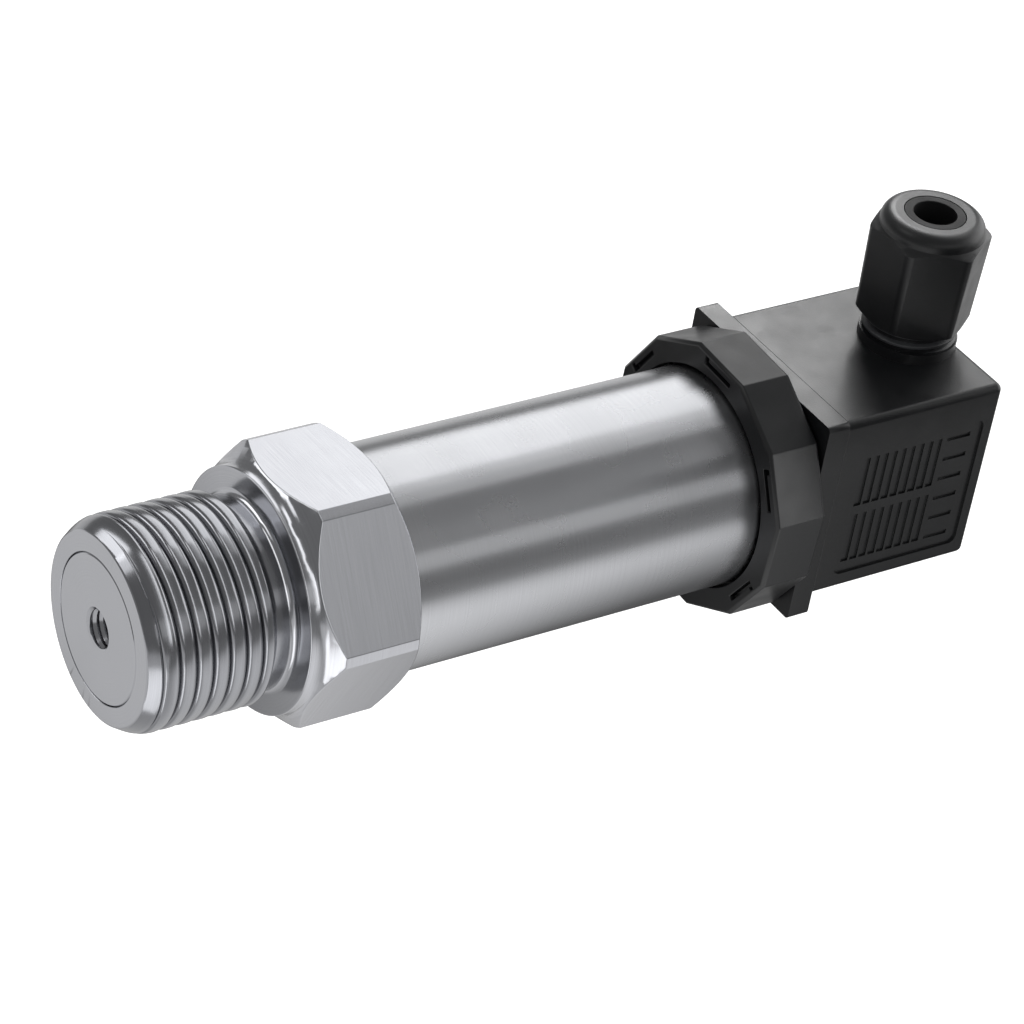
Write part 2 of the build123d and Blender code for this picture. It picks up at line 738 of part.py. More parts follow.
export_step(terminal_insert.part, "parts/terminal_insert.step")

# Sockets that take the blades in front and a screw behind
socket_x = plinth_end_x + socket_front_wall
socket_end_x = terminal_end_x - loose_gap
with BuildPart() as socket_contacts:
    for turn in blade_turns.values():
        with BuildSketch(blade_plane(turn, socket_thickness)):
            with Locations(((socket_x + socket_end_x) / 2, 0)):
                Rectangle(socket_end_x - socket_x, socket_width)
        extrude(amount=socket_thickness)
    for turn in blade_turns.values():
        with BuildSketch(blade_plane(turn, blade_thickness + 2 * running_gap)):
            with Locations((socket_x + socket_slot_depth / 2, 0)):
                Rectangle(socket_slot_depth, blade_width + 2 * running_gap)
        extrude(amount=blade_thickness + 2 * running_gap, mode=Mode.SUBTRACT)
    with BuildSketch(Plane.YZ.offset(socket_end_x)):
        with Locations(plug_centre):
            with PolarLocations(blade_circle, len(blade_turns)):
                Circle(terminal_screw_radius + fit_gap)
    extrude(amount=-terminal_screw_length, mode=Mode.SUBTRACT)
socket_contacts.part.label = "socket_contacts"
export_step(socket_contacts.part, "parts/socket_contacts.step")

# Terminal screws in the backs of the sockets
with BuildPart() as terminal_screws:
    with BuildSketch(Plane.YZ.offset(socket_end_x)):
        with Locations(plug_centre):
            with PolarLocations(blade_circle, len(blade_turns)):
                Circle(terminal_screw_radius)
    extrude(amount=-terminal_screw_length)
    with BuildSketch(Plane.YZ.offset(socket_end_x)):
        with Locations(plug_centre):
            with PolarLocations(blade_circle, len(blade_turns)):
                Circle(terminal_head_radius)
    extrude(amount=terminal_head_height)
    with BuildSketch(Plane.YZ.offset(socket_end_x + terminal_head_height)):
        with Locations(plug_centre):
            with PolarLocations(blade_circle, len(blade_turns)):
                Rectangle(2 * terminal_head_radius, terminal_slot_width)
    extrude(amount=-terminal_slot_depth, mode=Mode.SUBTRACT)
terminal_screws.part.label = "terminal_screws"
export_step(terminal_screws.part, "parts/terminal_screws.step")

# Long fixing screw through the plug from behind
with BuildPart() as fixing_screw:
    with BuildSketch(Plane.YZ.offset(screw_tip_x)):
        with Locations(plug_centre):
            Circle(screw_radius)
    extrude(amount=screw_head_x - screw_tip_x)
    with BuildSketch(Plane.YZ.offset(screw_head_x)):
        with Locations(plug_centre):
            Circle(screw_head_radius)
    extrude(amount=screw_head_height)
    with BuildSketch(Plane.YZ.offset(screw_head_x + screw_head_height)):
        with Locations(plug_centre):
            Rectangle(2 * screw_head_radius, screw_slot_width)
    extrude(amount=-screw_slot_depth, mode=Mode.SUBTRACT)
fixing_screw.part.label = "fixing_screw"
export_step(fixing_screw.part, "parts/fixing_screw.step")

# Rubber washer under the fixing screw's head
with BuildPart() as screw_seal:
    with BuildSketch(Plane.YZ.offset(screw_seat_x)):
        with Locations(plug_centre):
            Circle(screw_head_radius)
            Circle(screw_radius + loose_gap, mode=Mode.SUBTRACT)
    extrude(amount=screw_seal_thickness)
screw_seal.part.label = "screw_seal"
export_step(screw_seal.part, "parts/screw_seal.step")

# Rubber bush that grips the cable: a wide part in the neck and a boss up through the gland nut
with BuildPart() as gland_seal:
    with BuildSketch(Plane.XZ.offset(-gland_side_shift)):
        with BuildLine():
            seat_reach = gland_x + gland_seat_radius - fit_gap
            Polyline(
                (gland_x + cable_radius, gland_seat_z),
                (seat_reach - gland_seal_taper, gland_seat_z),
                (seat_reach, gland_seat_z + gland_seal_taper),
                (seat_reach, washer_z),
                (gland_x + gland_seal_boss_radius, washer_z),
                (gland_x + gland_seal_boss_radius, gland_nut_top_z),
                (gland_x + cable_radius, gland_nut_top_z),
                close=True,
            )
        make_face()
    revolve(axis=Axis((gland_x, gland_side_shift, 0), (0, 0, 1)))
gland_seal.part.label = "gland_seal"
export_step(gland_seal.part, "parts/gland_seal.step")

# Washer on the bush's shoulder
with BuildPart() as gland_washer:
    with BuildSketch(Plane.XY.offset(washer_z)):
        with Locations(gland_centre):
            Circle(gland_thread_radius - fit_gap)
            Circle(gland_seal_boss_radius + fit_gap, mode=Mode.SUBTRACT)
    extrude(amount=gland_washer_thickness)
gland_washer.part.label = "gland_washer"
export_step(gland_washer.part, "parts/gland_washer.step")

# Gland nut: a drafted hexagon, chamfered below and above, under a domed top
with BuildPart() as gland_nut:
    with BuildSketch(Plane.XY.offset(gland_nut_z)) as gland_hex:
        with Locations(gland_centre):
            RegularPolygon(gland_nut_flats_bottom / 2, 6, major_radius=False, rotation=gland_nut_turn)
        fillet(gland_hex.vertices(), radius=gland_nut_corner_fillet)
    extrude(amount=gland_nut_height, taper=-gland_nut_draft)
    dome_z = gland_nut_top_z - gland_dome_height
    nut_reach = 2 * gland_dome_radius
    with BuildSketch(Plane.XZ.offset(-gland_side_shift)):
        with BuildLine():
            bottom_radius = gland_nut_flats_bottom / 2
            Polyline(
                (gland_x, gland_nut_z),
                (gland_x + bottom_radius, gland_nut_z),
                (gland_x + nut_reach, gland_nut_z + (nut_reach - bottom_radius) * gland_chamfer_slope),
                (gland_x + nut_reach, dome_z - (nut_reach - gland_dome_radius) * gland_chamfer_slope),
                (gland_x + gland_dome_radius, dome_z),
                (gland_x + gland_dome_radius, gland_nut_top_z - gland_dome_fillet),
            )
            JernArc(
                (gland_x + gland_dome_radius, gland_nut_top_z - gland_dome_fillet),
                (0, 1),
                gland_dome_fillet,
                90,
            )
            Polyline(
                (gland_x + gland_dome_radius - gland_dome_fillet, gland_nut_top_z),
                (gland_x, gland_nut_top_z),
                (gland_x, gland_nut_z),
            )
        make_face()
    revolve(axis=Axis((gland_x, gland_side_shift, 0), (0, 0, 1)), mode=Mode.INTERSECT)
    with BuildSketch(Plane.XY.offset(gland_nut_z)):
        with Locations(gland_centre):
            Circle(gland_seal_boss_radius + running_gap)
    extrude(amount=gland_nut_height, mode=Mode.SUBTRACT)
    with BuildSketch(Plane.XY.offset(gland_nut_z)):
        with Locations(gland_centre):
            Circle(gland_thread_radius + running_gap)
    extrude(amount=washer_top_z - gland_nut_z, mode=Mode.SUBTRACT)
gland_nut.part.label = "gland_nut"
export_step(gland_nut.part, "parts/gland_nut.step")
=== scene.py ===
"""Looks of a pressure transmitter: threaded steel connection, brushed tube and black plug connector."""

import json
import math

import bmesh
import bpy
from bpy.props import FloatProperty, FloatVectorProperty, IntProperty, PointerProperty, StringProperty
from bpy.types import Operator, Panel, PropertyGroup
from mathutils import Matrix, Vector


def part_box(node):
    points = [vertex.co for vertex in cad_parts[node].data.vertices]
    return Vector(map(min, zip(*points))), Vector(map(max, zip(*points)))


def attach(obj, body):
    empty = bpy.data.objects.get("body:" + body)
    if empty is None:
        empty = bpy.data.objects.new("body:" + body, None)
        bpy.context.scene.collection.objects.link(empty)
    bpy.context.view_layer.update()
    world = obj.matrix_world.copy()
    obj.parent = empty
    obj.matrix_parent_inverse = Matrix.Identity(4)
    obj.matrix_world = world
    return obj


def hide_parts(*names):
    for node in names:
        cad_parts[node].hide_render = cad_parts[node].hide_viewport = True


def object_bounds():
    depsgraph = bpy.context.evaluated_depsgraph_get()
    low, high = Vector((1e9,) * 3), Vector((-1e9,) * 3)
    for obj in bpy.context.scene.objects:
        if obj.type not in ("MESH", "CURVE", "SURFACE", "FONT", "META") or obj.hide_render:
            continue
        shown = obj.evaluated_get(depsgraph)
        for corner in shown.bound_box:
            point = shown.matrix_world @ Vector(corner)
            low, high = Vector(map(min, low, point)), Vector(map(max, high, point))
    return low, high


bl_info = {
    "name": "Pressure Transmitter",
    "version": (1, 0, 0),
    "blender": (4, 5, 0),
    "location": "3D View > Sidebar > Transmitter",
    "description": "Models the visible pieces of a pressure transmitter around its CAD frame",
    "category": "Add Mesh",
}

# The X axis runs from the pressure port to the plug, and Z up to the cable gland. Lengths are in metres.
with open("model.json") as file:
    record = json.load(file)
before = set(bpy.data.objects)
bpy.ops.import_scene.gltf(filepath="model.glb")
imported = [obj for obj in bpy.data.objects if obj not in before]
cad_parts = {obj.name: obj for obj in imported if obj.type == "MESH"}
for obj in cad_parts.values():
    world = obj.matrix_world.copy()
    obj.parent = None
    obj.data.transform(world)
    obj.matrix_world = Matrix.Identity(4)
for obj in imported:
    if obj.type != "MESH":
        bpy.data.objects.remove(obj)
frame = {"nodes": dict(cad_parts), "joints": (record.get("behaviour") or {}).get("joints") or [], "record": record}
cad_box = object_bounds()
nodes = frame["nodes"]
mounts = {mount["name"]: mount for mount in frame["record"]["mounts"]}

MM = 0.001

# Distance within which vertices are one, and the share of a step's width that counts as a sliver
WELD_DISTANCE = 0.001 * MM
SLIVER_SHARE = 0.35

# Largest bend inside a flat area, and least bend of an edge that is rounded and of one that is drawn sharp
FLAT_ANGLE = math.radians(0.3)
EDGE_ANGLE = math.radians(22)
SMOOTH_ANGLE = math.radians(32)

# Half a groove of the stub's thread, from its middle to a crest's edge, as shares of its width and depth
GROOVE_WALL = ((0.0, 1.0), (0.14, 0.97), (0.3, 0.7), (0.5, 0.0))

# Steps over one crest of the stub's thread, and the power that keeps its top flat
CREST_STEPS = 10
CREST_FLATNESS = 4

# Turns swept before each thread's start and trimmed off, and the steps per turn of the fine threads
SPARE_TURNS = 3
FINE_THREAD_STEPS = 72

# Patterns of the finishes: frequencies are per millimetre, and the rest are shares
NOISE_RANGE = {"From Min": 0.3, "From Max": 0.7}
FLAT_STRETCH = 0.02
WIDE_LINE_SHARE = 0.12
BLOTCH_FREQUENCY = 0.14
LINE_SHADE = 0.92
CLOUD_FREQUENCY = 0.35
CLOUD_SPREAD = 0.04
GRAIN_SHADE = 0.15


class TransmitterThread(PropertyGroup):
    """Sizes of the stub's thread."""

    pitch: FloatProperty(
        name="Pitch", description="Advance of the thread in one turn", default=2.0 * MM, unit="LENGTH"
    )
    groove_width: FloatProperty(
        name="Groove width",
        description="Width of the groove between two crests",
        default=0.32 * MM,
        unit="LENGTH",
    )
    groove_depth: FloatProperty(
        name="Groove depth",
        description="Depth of the groove below the crests' edges",
        default=0.4 * MM,
        unit="LENGTH",
    )
    crown: FloatProperty(
        name="Crown",
        description="How far a crest's edges lie below its top",
        default=0.2 * MM,
        unit="LENGTH",
    )
    lean: FloatProperty(
        name="Lean",
        description="Share of a crest's width at which it is highest",
        default=0.4,
        min=0.1,
        max=0.9,
    )
    phase: FloatProperty(
        name="Phase",
        description="Place of a groove along the stub's top, from the bevel of its end",
        default=0.95 * MM,
        unit="LENGTH",
    )
    steps: IntProperty(name="Steps", description="Steps of the sweep in one turn", default=144, min=24)


class TransmitterPort(PropertyGroup):
    """Sizes of the thread in the small port and of the thread on the gland's neck."""

    port_pitch: FloatProperty(
        name="Port pitch", description="Pitch of the thread in the port", default=0.8 * MM, unit="LENGTH"
    )
    port_depth: FloatProperty(
        name="Port thread depth",
        description="Depth of the thread in the port",
        default=0.26 * MM,
        unit="LENGTH",
    )
    neck_pitch: FloatProperty(
        name="Neck pitch",
        description="Pitch of the thread on the gland's neck",
        default=1.25 * MM,
        unit="LENGTH",
    )
    neck_depth: FloatProperty(
        name="Neck thread depth",
        description="Height of the thread on the gland's neck",
        default=0.45 * MM,
        unit="LENGTH",
    )


class TransmitterFinish(PropertyGroup):
    """Colours of the visible finishes, as sRGB hex values."""

    steel: StringProperty(name="Steel", description="Colour of turned stainless steel", default="A8A9AD")
    # The thread's colour is the steel's made darker: painted shade on the thread
    thread: StringProperty(name="Thread", description="Colour of the thread's steel", default="8C8D91")
    tube: StringProperty(name="Tube", description="Colour of the brushed stainless tube", default="B0B1B4")
    moulding: StringProperty(name="Moulding", description="Colour of the black polyamide", default="18191B")
    rubber: StringProperty(name="Rubber", description="Colour of the black rubber", default="141415")


class TransmitterStage(PropertyGroup):
    """Camera angle of the photograph, and the height of the floor."""

    azimuth: FloatProperty(
        name="Azimuth",
        description="Turn of the camera about Z",
        default=math.radians(-38.251),
        subtype="ANGLE",
    )
    elevation: FloatProperty(
        name="Elevation",
        description="Height of the camera's angle",
        default=math.radians(35.125),
        subtype="ANGLE",
    )
    roll: FloatProperty(
        name="Roll",
        description="Turn of the camera about its own axis",
        default=math.radians(9.929),
        subtype="ANGLE",
    )
    aim: FloatVectorProperty(
        name="Aim",
        description="Point in the middle of the view",
        default=(53.43 * MM, 1.43 * MM, 0.18 * MM),
        subtype="XYZ",
    )
    distance: FloatProperty(
        name="Distance", description="From the aim to the camera", default=451.5 * MM, unit="LENGTH"
    )
    lens: FloatProperty(name="Lens", description="Focal length in millimetres", default=140.675)
    floor_drop: FloatProperty(
        name="Floor drop",
        description="From the object's lowest point to the floor",
        default=35.0 * MM,
        unit="LENGTH",
    )


def linear(hex_colour):
    """The sRGB hex value as a linear colour with full alpha."""
    channels = [int(hex_colour[i : i + 2], 16) / 255 for i in (0, 2, 4)]
    return [c / 12.92 if c <= 0.04045 else ((c + 0.055) / 1.055) ** 2.4 for c in channels] + [1.0]


def add_node(tree, kind, inputs=None, **settings):
    """Adds a node with its settings. Each input is a value, or another node's socket to link."""
    node = tree.nodes.new(kind)
    for name, value in settings.items():
        setattr(node, name, value)
    for name, value in (inputs or {}).items():
        if isinstance(value, bpy.types.NodeSocket):
            tree.links.new(value, node.inputs[name])
        else:
            node.inputs[name].default_value = value
    return node


def new_material(name):
    """An empty material with its output node, and the object's own coordinates in millimetres."""
    material = bpy.data.materials.new(name)
    material.use_nodes = True
    tree = material.node_tree
    tree.nodes.clear()
    place = add_node(tree, "ShaderNodeTexCoord").outputs["Object"]
    millimetres = add_node(tree, "ShaderNodeVectorMath", {0: place, "Scale": 1 / MM}, operation="SCALE")
    return material, tree, millimetres.outputs["Vector"]


def finish_material(tree, shader):
    """Links the shader to the material's output."""
    add_node(tree, "ShaderNodeOutputMaterial", {"Surface": shader.outputs["BSDF"]})


def ring_coordinates(tree, place):
    """Distance along X and from X, so that a pattern on them runs in rings about the axis."""
    split = add_node(tree, "ShaderNodeSeparateXYZ", {0: place})
    across = add_node(tree, "ShaderNodeCombineXYZ", {"Y": split.outputs["Y"], "Z": split.outputs["Z"]})
    radius = add_node(tree, "ShaderNodeVectorMath", {0: across.outputs[0]}, operation="LENGTH")
    rings = add_node(tree, "ShaderNodeCombineXYZ", {"X": split.outputs["X"], "Y": radius.outputs["Value"]})
    return rings.outputs[0]


def steel_material(name, colour, roughness, width, height, spread=0.02, anisotropy=0.0, flat=False):
    """Metal cut by a tool: fine lines of its feed run round the axis, or across a flat, and stretch each
    highlight along the axis. The lines' width and height are in millimetres."""
    material, tree, place = new_material(name)
    if flat:
        stretch = (1.0, FLAT_STRETCH, FLAT_STRETCH)
        straight = add_node(tree, "ShaderNodeVectorMath", {0: place, 1: stretch}, operation="MULTIPLY")
        pattern = straight.outputs[0]
    else:
        pattern = ring_coordinates(tree, place)
    lines, wide = (
        add_node(tree, "ShaderNodeTexNoise", {"Vector": pattern, "Scale": scale / width, "Detail": detail})
        for scale, detail in ((1, 2.0), (WIDE_LINE_SHARE, 3.0))
    )
    blotches = add_node(
        tree, "ShaderNodeTexNoise", {"Vector": place, "Scale": BLOTCH_FREQUENCY, "Detail": 4.0}
    )
    relief = add_node(
        tree, "ShaderNodeMath", {0: lines.outputs["Fac"], 1: wide.outputs["Fac"]}, operation="ADD"
    )
    gloss_range = {"To Min": roughness - spread, "To Max": roughness + spread}
    gloss = add_node(
        tree, "ShaderNodeMapRange", {"Value": blotches.outputs["Fac"], **NOISE_RANGE, **gloss_range}
    )
    shade_range = {"To Min": LINE_SHADE, "To Max": 1.0}
    shade = add_node(
        tree, "ShaderNodeMapRange", {"Value": lines.outputs["Fac"], **NOISE_RANGE, **shade_range}
    )
    base = add_node(
        tree, "ShaderNodeVectorMath", {0: linear(colour)[:3], "Scale": shade.outputs[0]}, operation="SCALE"
    )
    bump = add_node(
        tree, "ShaderNodeBump", {"Height": relief.outputs[0], "Strength": 1.0, "Distance": height * MM}
    )
    shader = add_node(
        tree,
        "ShaderNodeBsdfPrincipled",
        {
            "Base Color": base.outputs[0],
            "Metallic": 1.0,
            "Roughness": gloss.outputs[0],
            "Anisotropic": anisotropy,
            "Tangent": add_node(tree, "ShaderNodeCombineXYZ", {"X": 1.0}).outputs[0],
            "Normal": bump.outputs[0],
        },
    )
    finish_material(tree, shader)
    return material


def moulding_material(name, colour, roughness, width, height, specular=0.5):
    """A moulded plastic or rubber: an even fine grain from the mould, with soft cloudy changes of gloss.
    The grain's width and height are in millimetres."""
    material, tree, place = new_material(name)
    grain = add_node(tree, "ShaderNodeTexNoise", {"Vector": place, "Scale": 1 / width, "Detail": 3.0})
    clouds = add_node(
        tree, "ShaderNodeTexNoise", {"Vector": place, "Scale": CLOUD_FREQUENCY, "Detail": 4.0}
    )
    gloss_range = {"To Min": roughness - CLOUD_SPREAD, "To Max": roughness + CLOUD_SPREAD}
    gloss = add_node(
        tree, "ShaderNodeMapRange", {"Value": clouds.outputs["Fac"], **NOISE_RANGE, **gloss_range}
    )
    shade_range = {"To Min": 1 - GRAIN_SHADE, "To Max": 1 + GRAIN_SHADE}
    shade = add_node(
        tree, "ShaderNodeMapRange", {"Value": grain.outputs["Fac"], **NOISE_RANGE, **shade_range}
    )
    base = add_node(
        tree, "ShaderNodeVectorMath", {0: linear(colour)[:3], "Scale": shade.outputs[0]}, operation="SCALE"
    )
    bump = add_node(
        tree, "ShaderNodeBump", {"Height": grain.outputs["Fac"], "Strength": 1.0, "Distance": height * MM}
    )
    shader = add_node(
        tree,
        "ShaderNodeBsdfPrincipled",
        {
            "Base Color": base.outputs[0],
            "Roughness": gloss.outputs[0],
            "Specular IOR Level": specular,
            "Normal": bump.outputs[0],
        },
    )
    finish_material(tree, shader)
    return material


def material_named(name):
    """The finish of that name, made once."""
    if name in bpy.data.materials:
        return bpy.data.materials[name]
    finish = bpy.context.scene.transmitter_finish
    makers = {
        # Austenitic stainless steel, fine turned: faint rings of tool marks on a bright grey
        "turned_stainless": lambda: steel_material(
            name, finish.steel, roughness=0.18, width=0.15, height=0.0008, anisotropy=0.15
        ),
        # The same steel where the thread was cut, a little darker: a painted shade that stands in for the shade on
        # the thread
        "shaded_thread_stainless": lambda: steel_material(
            name, finish.thread, roughness=0.2, width=0.15, height=0.0008, anisotropy=0.15
        ),
        # The same steel milled: fine straight lines across each flat
        "milled_stainless": lambda: steel_material(
            name, finish.steel, roughness=0.24, width=0.15, height=0.0012, anisotropy=0.3, flat=True
        ),
        # Stainless tube polished round its axis: satin, with highlights drawn out along it
        "brushed_stainless": lambda: steel_material(
            name, finish.tube, roughness=0.27, spread=0.015, width=0.2, height=0.0011, anisotropy=0.75
        ),
        # Glass-filled polyamide from a spark-eroded mould: black, satin, with a fine even grain
        "black_polyamide": lambda: moulding_material(
            name, finish.moulding, roughness=0.38, width=0.16, height=0.008
        ),
        # Unfilled polyamide of the clamping nut: the same black, from a smoother mould
        "smooth_polyamide": lambda: moulding_material(
            name, finish.moulding, roughness=0.34, width=0.12, height=0.005
        ),
        # Nitrile rubber: black and dull
        "nitrile_rubber": lambda: moulding_material(
            name, finish.rubber, roughness=0.66, width=0.25, height=0.02, specular=0.4
        ),
        # Brass strip with dull tin plating
        "tinned_brass": lambda: steel_material(
            name, "D2D0C8", roughness=0.34, spread=0.05, width=0.3, height=0.003, flat=True
        ),
        # Nickel-iron pins with thin gold plating
        "gold_plating": lambda: steel_material(
            name, "D9B45B", roughness=0.24, spread=0.04, width=0.2, height=0.002
        ),
        # Free-cutting brass, turned
        "turned_brass": lambda: steel_material(
            name, "C8A45A", roughness=0.3, spread=0.05, width=0.2, height=0.004, anisotropy=0.2
        ),
        # Steel screws with bright zinc plating
        "zinc_plated_steel": lambda: steel_material(
            name, "C2C4C6", roughness=0.33, spread=0.06, width=0.2, height=0.004
        ),
        # Drawn aluminium cans
        "drawn_aluminium": lambda: steel_material(
            name, "CFD0D2", roughness=0.36, spread=0.05, width=0.3, height=0.003
        ),
        # Glass-fibre board under green solder resist: the weave shows faintly
        "solder_resist": lambda: moulding_material(name, "14512C", roughness=0.3, width=0.6, height=0.02),
        # Blue polyester trimmer bodies
        "blue_polyester": lambda: moulding_material(name, "1E3F8C", roughness=0.38, width=0.2, height=0.01),
    }
    return makers[name]()


SLOT_FINISHES = {
    "turned_steel": "turned_stainless",
    "brushed_tube": "brushed_stainless",
    "black_moulding": "black_polyamide",
    "black_rubber": "nitrile_rubber",
    "tinned_contact": "tinned_brass",
    "gold_contact": "gold_plating",
    "brass": "turned_brass",
    "screw_steel": "zinc_plated_steel",
    "circuit_board": "solder_resist",
    "blue_plastic": "blue_polyester",
    "bare_aluminium": "drawn_aluminium",
}


def add_piece(name, bm, body, finishes, replaced=()):
    """Makes the bmesh a piece that rides on its body and stands for the replaced CAD nodes."""
    mesh = bpy.data.meshes.new(name)
    bm.to_mesh(mesh)
    bm.free()
    for finish in finishes:
        mesh.materials.append(material_named(finish))
    mesh.shade_smooth()
    mesh.set_sharp_from_angle(angle=SMOOTH_ANGLE)
    piece = bpy.data.objects.new(name, mesh)
    bpy.context.scene.collection.objects.link(piece)
    weighted = piece.modifiers.new("Flat faces stay flat", "WEIGHTED_NORMAL")
    weighted.keep_sharp = True
    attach(piece, body)
    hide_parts(*replaced)
    return piece


def welded_copy(node):
    """A bmesh of the CAD node with its loose triangles merged and its flat areas made whole."""
    bm = bmesh.new()
    bm.from_mesh(nodes[node].data)
    bmesh.ops.remove_doubles(bm, verts=bm.verts, dist=WELD_DISTANCE)
    bmesh.ops.dissolve_limit(bm, angle_limit=FLAT_ANGLE, verts=bm.verts, edges=bm.edges)
    return bm


def soften_edges(bm, radius, where=None, segments=2):
    """Rounds each sharp edge, or those that the test chooses."""
    sharp = [
        edge
        for edge in bm.edges
        if edge.is_manifold and edge.calc_face_angle() > EDGE_ANGLE and (where is None or where(edge))
    ]
    bmesh.ops.bevel(
        bm,
        geom=sharp,
        offset=radius,
        offset_type="OFFSET",
        segments=segments,
        profile=0.5,
        affect="EDGES",
        clamp_overlap=True,
        material=-1,
    )


def softened_node(node, radius, name, body, finishes):
    """A piece with the CAD node's own shape and rounded edges."""
    bm = welded_copy(node)
    soften_edges(bm, radius)
    return add_piece(name, bm, body, finishes, [node])


def groove_profile(pitch, radius, width, depth, crown, lean):
    """One pitch of a thread as (along, radius) points, from groove to groove. A crest is nearly flat, with
    rounded edges."""
    edge = radius - crown
    wall = [(share * width, edge - depth * fall) for share, fall in GROOVE_WALL]
    points = list(wall)
    for step in range(1, CREST_STEPS):
        share = step / CREST_STEPS
        side = lean if share < lean else 1 - lean
        drop = crown * abs((share - lean) / side) ** CREST_FLATNESS
        points.append((width / 2 + share * (pitch - width), radius - drop))
    return points + [(pitch - along, reach) for along, reach in reversed(wall)]


def thread_skin(profile, pitch, start, stop, steps, limit=lambda x, reach: reach):
    """Sweeps one pitch of a thread in a right-handed helix about X, and trims its ends. The limit gives the
    radius to which a point at that x and radius is held."""
    turns = math.ceil((stop - start) / pitch) + SPARE_TURNS + 1
    bm = bmesh.new()
    first = start - SPARE_TURNS * pitch
    verts = [bm.verts.new((first + along, 0, reach)) for along, reach in profile]
    edges = [bm.edges.new(pair) for pair in zip(verts, verts[1:])]
    bmesh.ops.spin(
        bm,
        geom=verts + edges,
        cent=(0, 0, 0),
        axis=(1, 0, 0),
        dvec=(pitch / steps, 0, 0),
        angle=2 * math.pi * turns,
        steps=steps * turns,
    )
    bmesh.ops.remove_doubles(bm, verts=bm.verts, dist=WELD_DISTANCE)
    for vert in bm.verts:
        reach = math.hypot(vert.co.y, vert.co.z)
        held = limit(vert.co.x, reach)
        vert.co.y *= held / reach
        vert.co.z *= held / reach
    for x, facing in ((start, -1), (stop, 1)):
        bmesh.ops.bisect_plane(
            bm,
            geom=bm.verts[:] + bm.edges[:] + bm.faces[:],
            plane_co=(x, 0, 0),
            plane_no=(facing, 0, 0),
            clear_outer=True,
            dist=WELD_DISTANCE,
        )
    sliver = SLIVER_SHARE * 2 * math.pi * profile[0][1] / steps
    bmesh.ops.remove_doubles(bm, verts=[vert for vert in bm.verts if vert.is_boundary], dist=sliver)
    return bm


def open_loop(bm, x, radius=math.inf):
    """The open edges at that place along the axis whose ends lie within the radius."""
    return [
        edge
        for edge in bm.edges
        if edge.is_boundary
        and all(abs(vert.co.x - x) < 2 * WELD_DISTANCE for vert in edge.verts)
        and all(math.hypot(vert.co.y, vert.co.z) < radius - WELD_DISTANCE for vert in edge.verts)
    ]


def extend_loop(bm, loop, profile):
    """Extends an open loop through (x, radius) places, ring by ring, and returns the last ring's edges."""
    for x, radius in profile:
        made = bmesh.ops.extrude_edge_only(bm, edges=loop)["geom"]
        for vert in (item for item in made if isinstance(item, bmesh.types.BMVert)):
            reach = math.hypot(vert.co.y, vert.co.z)
            vert.co = (x, vert.co.y * radius / reach, vert.co.z * radius / reach)
        loop = [item for item in made if isinstance(item, bmesh.types.BMEdge)]
    return loop


def arc_places(centre_x, centre_radius, size, start, stop, count=8):
    """Places on an arc in the plane of x and radius, with angles in degrees from the X axis."""
    angles = [math.radians(start + (stop - start) * step / count) for step in range(count + 1)]
    return [(centre_x + size * math.cos(angle), centre_radius + size * math.sin(angle)) for angle in angles]


